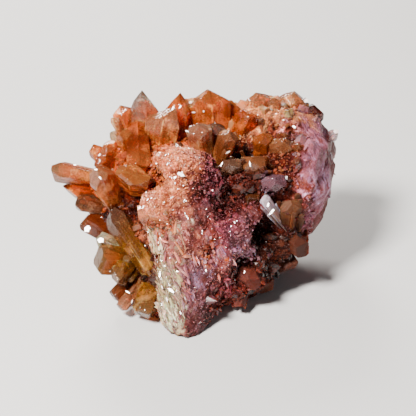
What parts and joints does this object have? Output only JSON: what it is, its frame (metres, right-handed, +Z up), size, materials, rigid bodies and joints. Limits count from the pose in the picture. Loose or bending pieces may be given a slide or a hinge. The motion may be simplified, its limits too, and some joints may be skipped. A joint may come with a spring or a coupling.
{
  "type": "creedite cluster",
  "caption": "Mineral specimen: a granular pink creedite lump with orange prismatic crystals fanning from its top and left side, resting on a flat cut face.",
  "frame": {"origin": "a point on the flat face that the specimen rests on, below the front of its middle", "axes": "+Z up from the resting face, -Y towards the broken granular front, +X to the right as the front is seen"},
  "size_m": [0.0411, 0.0335, 0.0281],
  "materials": {
    "massive_creedite": "granular, pink to lilac, sugary, with rust dust in its pits",
    "orange_creedite": "translucent orange crystal, vitreous with frosted faces",
    "amber_creedite": "translucent amber crystal with dark inclusions",
    "brown_creedite": "translucent brown and tan crystal, vitreous"
  },
  "bodies": {
    "root": {"matrix": "massive_creedite", "upper_left_spray": "orange_creedite", "lower_left_spray": "amber_creedite", "top_spray": "orange_creedite", "rim_spray": "orange_creedite", "hollow_spray": "brown_creedite", "front_right_spray": "brown_creedite", "low_right_spray": "brown_creedite", "back_spray": "orange_creedite"}
  },
  "joints": []
}
